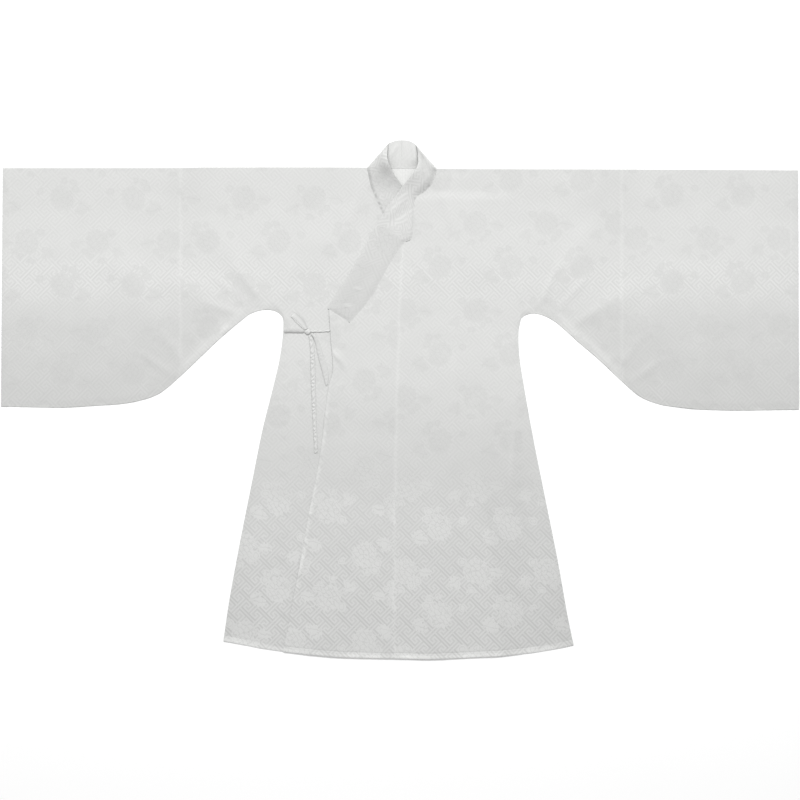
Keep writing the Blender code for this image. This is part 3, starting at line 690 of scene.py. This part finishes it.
# Middle x, y, width, height over the front. lean: how much higher the upper edge lies
ties = {
    "side_strap": {
        "rows": [
            (-277.2, 165.6, 8.5, 0.3), (-262, 165.4, 8, 0.3), (-246, 165, 8, 0.3),
            (-229.2, 164, 6.4, 0.4),
        ],
        "lean": 1.7,
        "flat": (0.010, 0.049),
    },
    "flap_strap": {
        "rows": [
            (-212.9, 164.4, 5, 0.4), (-198, 165, 5, 0.3), (-184, 165.6, 5, 0.3),
            (-167.5, 166.2, 5, 0.3),
        ],
        "flat": (0.010, 0.046),
        "area": 0.00027,
    },
    "tail_long": {
        "rows": [
            (-215.4, 155.9, 8, 0.3), (-212.6, 140, 9.2, 0.3), (-210.5, 120, 10.2, 0.3),
            (-209.6, 88, 10.2, 0.3), (-208.8, 57.6, 10.2, 0.3), (-207.8, 28, 9.8, 0.3),
            (-206.9, 0, 9.5, 0.3), (-206, -30, 8.8, 0.3), (-205, -57.6, 8, 0.3),
            (-202.8, -96, 7.8, 0.3), (-201.6, -127.2, 7.8, 0.3),
        ],
        "flat": (0.011, 0.285),
    },
    "tail_short": {
        "rows": [
            (-212.6, 159.4, 5, 1.8), (-207, 154, 6, 1.8), (-202, 146, 7.4, 1.4),
            (-198.4, 136, 9, 0.6), (-195, 124, 11, 0.3), (-190.6, 107, 12.6, 0.3),
            (-186, 91.2, 13.5, 0.3), (-181.6, 76, 13.8, 0.3), (-178.6, 62, 13, 0.3),
            (-176.8, 47, 8.6, 0.3), (-176.2, 34, 4, 0.3),
        ],
        "crumpled": 0.3,
        "flat": (0.014, 0.13),
    },
}


def flatTie(name, tie):  # folded strip lying on the right front
    rows = smoothRun(tie["rows"], tieCloth["rowStep"])
    lean = tie.get("lean", 0.0)
    run = np.gradient(rows[:, :2], axis=0)
    run /= np.linalg.norm(run, axis=1)[:, None]
    s = np.linspace(-0.5, 0.5, tieCloth["across"])[None, :]
    x = rows[:, 0:1] - run[:, 1:2] * rows[:, 2:3] * s
    y = rows[:, 1:2] + run[:, 0:1] * rows[:, 2:3] * s
    length = lengthAlong(rows[:, :2])[:, None]
    along = length + 3.0 * s
    crumple = np.sin(along / 1.75 + 2.6 * np.sin(along / 9.3) + 1.4 * np.sin(along / 4.1 + 7 * s))
    crumple = crumple * tieCloth["crumple"] * np.clip(1.2 - np.abs(2 * s + 0.2), 0, 1)
    crumple = crumple * tie.get("crumpled", 1.0)
    z = (rightFace(x, y) + rows[:, 3:4] + tieCloth["wall"] + lean * (0.5 + s)
         + tieCloth["crown"] * (1 - (2 * s) ** 2) + crumple * (1.0 - np.abs(lean) / 2.0))
    z = z - 0.9 * np.clip(1 - (length[-1] - length) / 4.0, 0, 1)
    # painted highlights on the crumples, painted shade along one edge and over the lower side
    # where the strip leans
    paintedLight = (0.45 * np.clip(crumple / tieCloth["crumple"], 0, 1) ** 2
             - 0.8 * np.clip(-2 * s - 0.5, 0, 1) - 0.35 * lean * np.clip(0.6 - 2 * s, 0, 1))
    cut = Cut(name)
    cut.patch(x, y, z, length + 0 * x, s * rows[:, 2:3] + 0 * x, paintedLight + 0 * x)
    return cut.finish(tieCloth["wall"])


tieLoop = {
    # near edge x, y, z, far edge x, y, z
    "rows": [
        (-228.6, 168.4, 3.2, -222.6, 171.4, 3.2), (-246, 183.5, 3.2, -236.5, 191.5, 3.2),
        (-258.4, 196.8, 3.2, -248.6, 207.2, 3.2), (-261, 199.6, 4, -251.2, 210.2, 4),
        (-262, 200.6, 5.7, -252, 211.2, 5.7), (-260.6, 199.8, 7.4, -249.6, 209.6, 7.4),
        (-257.4, 197.6, 8.3, -245.6, 206.6, 8.3), (-243, 184.5, 8.6, -232, 193, 8.6),
        (-227.8, 168.8, 7.4, -221, 171.6, 7.4),
    ],
    "rowStep": 2.5,
    "level": 3.2,
    "flattened": 0.28,  # how much of its height above the level is left
    "wall": 0.8,
    "flat": (0.016, 0.09),
}


def bowLoop(name):
    rows = smoothRun(tieLoop["rows"], tieLoop["rowStep"])
    t = np.linspace(0, 1, tieCloth["across"])[None, :, None]
    near, far = rows[:, None, 0:3], rows[:, None, 3:6]
    x, y, z = np.moveaxis(near + t * (far - near), 2, 0)
    base = rightFace(rows[:, 0], rows[:, 1])[:, None] - lowLayer - solidWall
    z = tieLoop["level"] + tieLoop["flattened"] * (z - tieLoop["level"]) + base
    z = z + tieCloth["crown"] * (1 - (2 * t[..., 0] - 1) ** 2)
    length = lengthAlong(rows[:, :3])[:, None]
    width = np.linalg.norm(rows[:, 3:5] - rows[:, 0:2], axis=1)[:, None]
    cut = Cut(name)
    # painted highlight along the loop and painted shade by its far edge
    loopPaintedLight = np.exp(-((t[..., 0] - 0.35) / 0.2) ** 2) - 2 * np.exp(-((t[..., 0] - 0.9) / 0.14) ** 2)
    cut.patch(x, y, z, length + 0 * x, t[..., 0] * width + 0 * x, 0.3 * loopPaintedLight + 0 * x)
    return cut.finish(tieLoop["wall"])


tieKnot = {"centre": (-221.0, 163.5, 4.0), "half": (7.4, 6.7, 2.7), "base": 3.1, "wraps": 0.13}


def knot(name):
    mesh = bpy.data.meshes.new(name)
    work = bmesh.new()
    weave = work.loops.layers.uv.new("weave")
    bmesh.ops.create_icosphere(work, subdivisions=5, radius=1.0)
    for vert in work.verts:
        x, y, z = vert.co
        turn = math.atan2(z, x * 0.8 + y * 0.6)
        wrap = math.sin(3.2 * (x * 0.6 - y * 0.8) + 0.5 * math.sin(2 * turn))
        size = 1 - tieKnot["wraps"] * (1 - abs(wrap)) ** 2 * 1.6
        place = [tieKnot["centre"][i] + vert.co[i] * tieKnot["half"][i] * size for i in range(3)]
        vert.co = (place[0] * mm, (place[1] + shiftY) * mm, max(place[2], tieKnot["base"]) * mm)
    for face in work.faces:
        face.smooth = True
        for loop in face.loops:
            loop[weave].uv = (loop.vert.co.x + loop.vert.co.z, loop.vert.co.y)
    work.to_mesh(mesh)
    work.free()
    return placed(name, mesh)


class Value:  # a socket that can be used in sums

    def __init__(self, finish, socket):
        self.finish, self.socket = finish, socket

    def sum(self, operation, *others):
        sockets = {i: item for i, item in enumerate((self, *others))}
        return self.finish.node("Math", {"operation": operation}, sockets)

    def flip(self, operation, other):
        return self.finish.node("Math", {"operation": operation}, {0: other, 1: self})

    def __rsub__(self, other):
        return self.flip("SUBTRACT", other)

    def __rpow__(self, other):
        return self.flip("POWER", other)

    def under(self, edge, soft):  # 1 below the edge, 0 above it
        return self.finish.node("MapRange", {"interpolation_type": "SMOOTHSTEP"},
                                {"Value": self, "From Min": edge - soft, "From Max": edge + soft,
                                 "To Min": 1.0, "To Max": 0.0})

    def above(self, edge, soft):
        return 1.0 - self.under(edge, soft)

    def near(self, middle, half, soft):
        return abs(self - middle).under(half, soft)


def sumOf(operation):
    return lambda value, *others: value.sum(operation, *others)


for method, operation in {
        "__add__": "ADD", "__radd__": "ADD", "__sub__": "SUBTRACT", "__mul__": "MULTIPLY",
        "__rmul__": "MULTIPLY", "__truediv__": "DIVIDE", "__mod__": "FLOORED_MODULO",
        "__pow__": "POWER", "__abs__": "ABSOLUTE", "floor": "FLOOR", "sin": "SINE",
        "most": "MAXIMUM"}.items():
    setattr(Value, method, sumOf(operation))


class Finish:  # one material and its nodes

    def __init__(self, name, **fixed):
        self.material = bpy.data.materials.new(name)
        self.material.use_nodes = True
        self.tree = self.material.node_tree
        self.shader = self.tree.nodes["Principled BSDF"]
        for key, value in fixed.items():
            self.shader.inputs[key.replace("_", " ")].default_value = value

    def plug(self, socket, value):
        if isinstance(value, Value):
            self.tree.links.new(value.socket, socket)
        elif socket.type == "RGBA" and not hasattr(value, "__len__"):
            socket.default_value = (value, value, value, 1.0)
        else:
            socket.default_value = value

    def node(self, kind, settings, sockets, out=0):
        made = self.tree.nodes.new("ShaderNode" + kind)
        for key, value in settings.items():
            setattr(made, key, value)
        for key, value in sockets.items():
            self.plug(made.inputs[key], value)
        return Value(self, made.outputs[out])

    def mix(self, share, first, second):  # of two colours
        return self.node("Mix", {"data_type": "RGBA"}, {0: share, 6: first, 7: second}, out=2)

    def flatParts(self, place):  # its x and y in millimetres
        parts = self.node("SeparateXYZ", {}, {0: place})
        return parts * 1000.0, Value(self, parts.socket.node.outputs[1]) * 1000.0

    def noise(self, place, scale, detail, rough=0.5):  # about 0
        return self.node("TexNoise", {"noise_dimensions": "2D"},
                         {"Vector": place, "Scale": scale, "Detail": detail,
                          "Roughness": rough}) - 0.5


# Woven figure: a slanting key fret, charted for one repeat, with sprays of peony over it
figure = {
    "unit": 3.72,  # one thread group of the fret
    "fretStart": (122.7, -470.9),
    "chart": [
        ".XXXXXXXXXXXXXXX",
        ".X.............X",
        ".X.XXXXX.XXXXX.X",
        ".X.X...X.X...X.X",
        ".X.XXX.X.X.XXX.X",
        ".X...X.X.X.X...X",
        ".XXXXX.X.X.XXXXX",
        ".......X.X......",
    ],
    "sprayWide": 170.0,
    "sprayHigh": 208.8,
    "sprayStart": (181.0, -411.0),
    "bandStart": (30.0, -60.0),
    "flower": (60, 31, 28),  # turn, half length, half width
    "frills": 15.0,  # round its edge
    "petalSize": 11.0,
    # leaves: middle, how far that moves in every second row, turn, half length, half width
    "leaves": [(-51, -25, -3, 7, 35, 19, 10), (-43, -34, 4, 3, 75, 11, 6),
               (50, -3, -96, -27, -10, 19, 11)],
    # buds: middle, how far that moves in every second row, radius
    "buds": [(-10, -48, -16, 86, 10), (17, -35, -23, 77, 8), (30, -23, 24, 39, 9),
             (-32, 22, 0, 0, 10)],
}

# Parts of the robe where the figure's painted sheen and the painted light and shade change:
# edge and how soft it is, or middle, half width and how soft the edges are
zones = {
    "skirt": (-190.0, 95.0), "deepSkirt": (-330.0, 200.0), "hips": (-190.0, 50.0, 60.0),
    "waist": (80.0, 90.0, 70.0), "chest": (235.0, 170.0, 90.0), "shoulders": (450.0, 90.0),
    "belowShoulders": (380.0, 90.0), "body": (300.0, 40.0), "sleeves": (400.0, 80.0),
    "sleeveSeams": (510.0, 50.0, 45.0), "farSleeve": (500.0, 50.0), "lowSleeve": (215.0, 35.0),
    "sleeveFoot": (220.0, 60.0), "sleeveLine": (285.0, 45.0, 40.0), "lowBand": (350.0, 60.0),
}


def oval(a, b, at, turn, halfLong, halfWide, pointed):  # 1 at its edge
    cosine, sine = math.cos(math.radians(turn)), math.sin(math.radians(turn))
    a, b = a - at[0], b - at[1]
    along, across = (a * cosine + b * sine) / halfLong, (b * cosine - a * sine) / halfWide
    if pointed:
        return along * along + abs(across) + (along * (halfLong * 0.75)).sin() * 0.22, across
    return (along * along + across * across) ** 0.5, across


# Brightness of the ground, the fret and the petals
tones = {
    "white_figured_silk": (0.56, 0.605, 0.61),
    "collar_silk": (0.525, 0.575, 0.55),
    "tie_silk": (0.56, 0.575, 0.57),
    # painted lighter than collar_reverse, the same wrong side, to offset the shade inside the neck
    "silk_reverse": (0.64, 0.65, 0.65),
    "collar_reverse": (0.56, 0.57, 0.57),
    # the wrong side once more, painted lighter: a painted highlight on the pressed seam
    "seam_silk": (0.655, 0.665, 0.665),
}


# swap: the piece is cut across the cloth. reverse: the wrong side
def figured(name, start=figure["sprayStart"], swap=False, reverse=False):
    silk = Finish(name, Specular_IOR_Level=0.35)
    ground, line, petal = tones[name]
    uv = silk.node("UVMap", {"uv_map": "weave"}, {})
    u, v = silk.flatParts(uv)
    if swap:
        u, v = v, u
    # fret: bars slant down to the wearer's left
    fretX, fretY = figure["fretStart"]
    chart = figure["chart"]
    chartWide, chartHigh = float(len(chart[0])), float(len(chart))
    diagonal = 0.70711 / figure["unit"]
    p = (u - v - (fretX - fretY)) * diagonal + 0.5
    q = ((fretX + fretY) - u - v) * diagonal + 0.5
    block = (q / chartHigh).floor()
    column = ((p + block * (chartWide / 2)) % chartWide).floor()
    row = (q % chartHigh).floor()
    number = 0.0
    rows = []
    for i, text in enumerate(chart):
        bits = sum(2 ** k for k, mark in enumerate(text) if mark == "X")
        rows.append(silk.node("Math", {"operation": "COMPARE"}, {0: row, 1: float(i), 2: 0.4}))
        number = rows[i] * float(bits) + number
    fret = (number / (2.0 ** column)).floor() % 2.0
    beside = (rows[1] + rows[7]) * (1.0 - fret)  # the gaps along the long bars
    cross = silk.node("TexNoise", {"noise_dimensions": "1D"}, {"W": q * 0.45, "Scale": 1.0})
    # sprays, every second row half a repeat along and with other leaves
    noise = silk.noise(uv, 60.0, 2.0, 0.7)
    wide, high = figure["sprayWide"], figure["sprayHigh"] / 2
    down = (v - start[1]) / high + 0.5
    odd = down.floor() % 2.0
    b = (down % 1.0 - 0.5) * high + noise * 14.0
    a = (u - start[0] - odd * (wide / 2) + wide / 2) % wide - wide / 2 - noise * 11.0
    angle = silk.node("Math", {"operation": "ARCTAN2"}, {0: b, 1: a})
    flower = oval(a, b, (0, 0), *figure["flower"], False)[0]
    flower = flower + (angle * figure["frills"]).sin() * 0.05
    blossom = flower.under(1.0, 0.02)
    frill = silk.noise(uv, 170.0, 1.0)
    petals = silk.node("CombineXYZ", {}, {0: a + frill * 7.0, 1: b - frill * 7.0})
    cells = silk.node("TexVoronoi", {"feature": "DISTANCE_TO_EDGE", "voronoi_dimensions": "2D"},
                      {"Vector": petals, "Scale": 1 / figure["petalSize"], "Randomness": 1.0})
    lines = cells.under(0.075, 0.03) * flower.under(0.93, 0.05)
    spray = blossom

    def middle(x, y, moveX, moveY):
        return odd * float(moveX) + float(x), odd * float(moveY) + float(y)

    for *at, turn, halfLong, halfWide in figure["leaves"]:
        leaf, across = oval(a, b, middle(*at), turn, halfLong, halfWide, True)
        spray = spray.most(leaf.under(1.0, 0.06))
        lines = lines.most(abs(across).under(0.08, 0.05) * leaf.under(0.85, 0.1))
    for *at, radius in figure["buds"]:
        bud = oval(a, b, middle(*at), 20, radius * 1.15, radius, False)[0]
        spray = spray.most(bud.under(1.0, 0.05))
        lines = lines.most(abs(bud - 0.6).under(0.07, 0.04))
    stem = abs(b + 2.0 - a * 0.45 + (a / 9.0).sin() * 5.0).under(0.9, 0.4)
    stem = stem * abs(a).under(52.0, 1.0) * (1.0 - blossom)
    spray = spray.most(stem)
    # cloth grain and slubs
    threads = silk.node("Mapping", {}, {0: uv, 3: (1.0, 0.12, 1.0)})
    grain = silk.noise(threads, 900.0, 2.0)
    soft = silk.noise(uv, 9.0, 3.0)
    # painted sheen: stronger figure on the sleeves and skirt; flowers lighter in the skirt, darker
    # above
    x, y = silk.flatParts(silk.node("TexCoord", {}, {}, out=3))  # Object coordinates
    skirt = y.under(*zones["skirt"])
    lowSleeve = y.under(*zones["lowSleeve"]) * abs(x).above(*zones["farSleeve"])
    deep = y.under(*zones["deepSkirt"])
    paintedSheen = 0.5 + y.near(*zones["sleeveLine"]) * 0.5 + skirt * 0.4 + deep * 0.5 + soft * 0.6
    # on the band and the ties the painted sheen is weaker low on the robe
    if swap:
        skirt, paintedSheen = 0.3, 0.9 - y.under(*zones["lowBand"]) * 0.55
    paintedSheen = paintedSheen * (0.6 + cross * 0.8)
    bars = fret * (1.0 + rows[0] * (0.2 - skirt * 0.4)) - beside * (0.18 + deep * 0.25) - 0.42
    tone = ground + bars * (line - ground) * paintedSheen
    flowerTone = ground + (petal - ground) * (skirt * 1.25 - 0.22 + lowSleeve * 0.18)
    tone = tone * (1.0 - spray) + spray * flowerTone
    tone = tone - lines * spray * (0.025 + skirt * 0.045)
    if reverse:
        tone = ground + (fret - 0.5) * -0.008 + (u * 0.9).sin() * 0.006
    if not swap and not reverse:  # painted light and shade along the robe
        # lighter at the chest and waist, darker at the hips, the shoulders, beside the sleeve
        # seams and at the sleeves' feet
        paintedShading = y.near(*zones["chest"]) * 0.025 - y.near(*zones["hips"]) * 0.02
        paintedShading = paintedShading + y.near(*zones["waist"]) * abs(x).under(*zones["body"]) * 0.03
        seams = abs(x).near(*zones["sleeveSeams"]) * y.above(*zones["belowShoulders"])
        foot = y.under(*zones["sleeveFoot"]) * abs(x).above(*zones["sleeves"])
        paintedShading = paintedShading - seams * 0.025 - foot * 0.07
        tone = tone * (paintedShading + 1.0 - y.above(*zones["shoulders"]) * 0.035)
    # the painted highlights and painted shade carried by the mesh, which also make the silk
    # glossier where lighter
    paintedLight = silk.node("Attribute", {"attribute_name": "paintedLight"}, {}, out=2)
    tone = tone * (1.0 + grain * 0.08 + soft * 0.03 + paintedLight * 0.3)
    colour = silk.mix(tone, (0.0, 0.0, 0.0, 1.0), (0.995, 1.0, 0.985, 1.0))
    rough = 0.6 - fret * 0.18 - spray * 0.08 + grain * 0.1 - paintedLight * 0.15
    height = fret * 0.04 + spray * 0.04 - lines * 0.04 + grain * 0.03
    bump = silk.node("Bump", {}, {"Height": height, "Distance": mm, "Strength": 1.0})
    for socket, value in (("Base Color", colour), ("Roughness", rough), ("Normal", bump)):
        silk.plug(silk.shader.inputs[socket], value)
    return silk.material


plain = figured("silk_reverse", reverse=True)
bandReverse = figured("collar_reverse", reverse=True)
damask = (figured("white_figured_silk"), plain)
bandSilk = (figured("collar_silk", figure["bandStart"], swap=True), bandReverse)
tieSilk = (figured("tie_silk", figure["bandStart"], swap=True), plain)
seamSilk = figured("seam_silk", (0.0, 0.0), reverse=True)
print("silks woven")

seamStrip = {
    "rows": [(9.6, 554.6, 6.4), (9.6, 535.0, 6.6), (9.8, 515.0, 6.4), (9.9, 498.0, 6.2)],
    "rowStep": 4.0,
    "wall": 0.6,
    "lift": 0.04,  # above the back
    "flat": (0.010, 0.057),
    "area": 0.00036,
    "looksOnly": True,
}


def pressedSeam(name):  # seam allowance that shows inside the neck
    rows = smoothRun(seamStrip["rows"], seamStrip["rowStep"])
    s = np.linspace(-0.5, 0.5, 5)[None, :]
    x, y = rows[:, 0:1] + s * rows[:, 2:3], rows[:, 1:2] + 0 * s
    z = (cloth["wall"] + seamStrip["wall"] + seamStrip["lift"] + neckRise(y)
         + 0.12 * (0.5 + s) + 0.05 * np.sin(y / 5.0))
    cut = Cut(name)
    cut.patch(x, y, z)
    made = cut.finish(seamStrip["wall"])
    made.modifiers["wall"].material_offset = 0
    return made


rightBody = dress("body_right", damask, "damask", bodySheet, [],
                  bodyHalf, "right", rightFace)
innerFlap = dress("overlap_inner", damask, "damask", panels["inner"], [], innerOverlap)
leftBody = dress("body_left", damask, "damask", bodySheet, [innerFlap],
                 bodyHalf, "left", outerFace)
dress("overlap_outer", damask, "damask", panels["outer"], [rightBody], outerOverlap)
for side in sides:
    dress("sleeve_" + side, damask, "damask", sleeveSheet, [], sleeveTube, side)
dress("collar_band", bandSilk, "band", collarBand, [rightBody, leftBody], neckBand)
for name, tie in ties.items():
    dress(name, tieSilk, "tie", tie, [rightBody], flatTie, tie)
dress("tie_loop", tieSilk, "tie", tieLoop, [rightBody], bowLoop)
dress("back_seam", [seamSilk], "damask", seamStrip, [rightBody], pressedSeam)
dress("tie_knot", tieSilk[:1], "tie", tieKnot, [], knot)

# Floor, light and camera
studio = {
    "floor": 0.975,
    "floorSize": 8.0,
    "fill": 0.60,
    "key": 250.0,
    "keyPlace": (-0.1, 3.6, 3.1),
    "keySize": (4.5, 1.3),
    "lens": 180.0,
    "cameraPlace": (0.0, -0.001, 9.6),
}

floorMesh = bpy.data.meshes.new("studio_floor")
work = bmesh.new()
bmesh.ops.create_grid(work, x_segments=1, y_segments=1, size=studio["floorSize"])
work.to_mesh(floorMesh)
work.free()
floor = placed("studio_floor", floorMesh)
paper = Finish("floor_paper", Roughness=0.9, Specular_IOR_Level=0.1)
clouds = paper.node("TexNoise", {}, {"Scale": 3.0})
level = studio["floor"] + (clouds - 0.5) * 0.01
paper.plug(paper.shader.inputs["Base Color"], paper.mix(level, 0.0, 1.0))
floorMesh.materials.append(paper.material)

lamp = bpy.data.lights.new("key", "AREA")
lamp.shape, lamp.energy = "RECTANGLE", studio["key"]
lamp.size, lamp.size_y = studio["keySize"]
key = placed("key", lamp)
key.location = studio["keyPlace"]
key.rotation_euler = Vector(studio["keyPlace"]).to_track_quat("Z", "Y").to_euler()

world = bpy.data.worlds.new("studio")
world.use_nodes = True
sky = world.node_tree.nodes["Background"]
sky.inputs[0].default_value = (1.0, 1.0, 1.0, 1.0)
sky.inputs[1].default_value = studio["fill"]
bpy.context.scene.world = world

lens = bpy.data.cameras.new("above")
lens.lens, lens.sensor_width = studio["lens"], 36.0
camera = placed("above", lens)
camera.location = studio["cameraPlace"]
bpy.context.scene.camera = camera
bpy.context.scene.view_settings.view_transform = "Standard"
print("studio set")
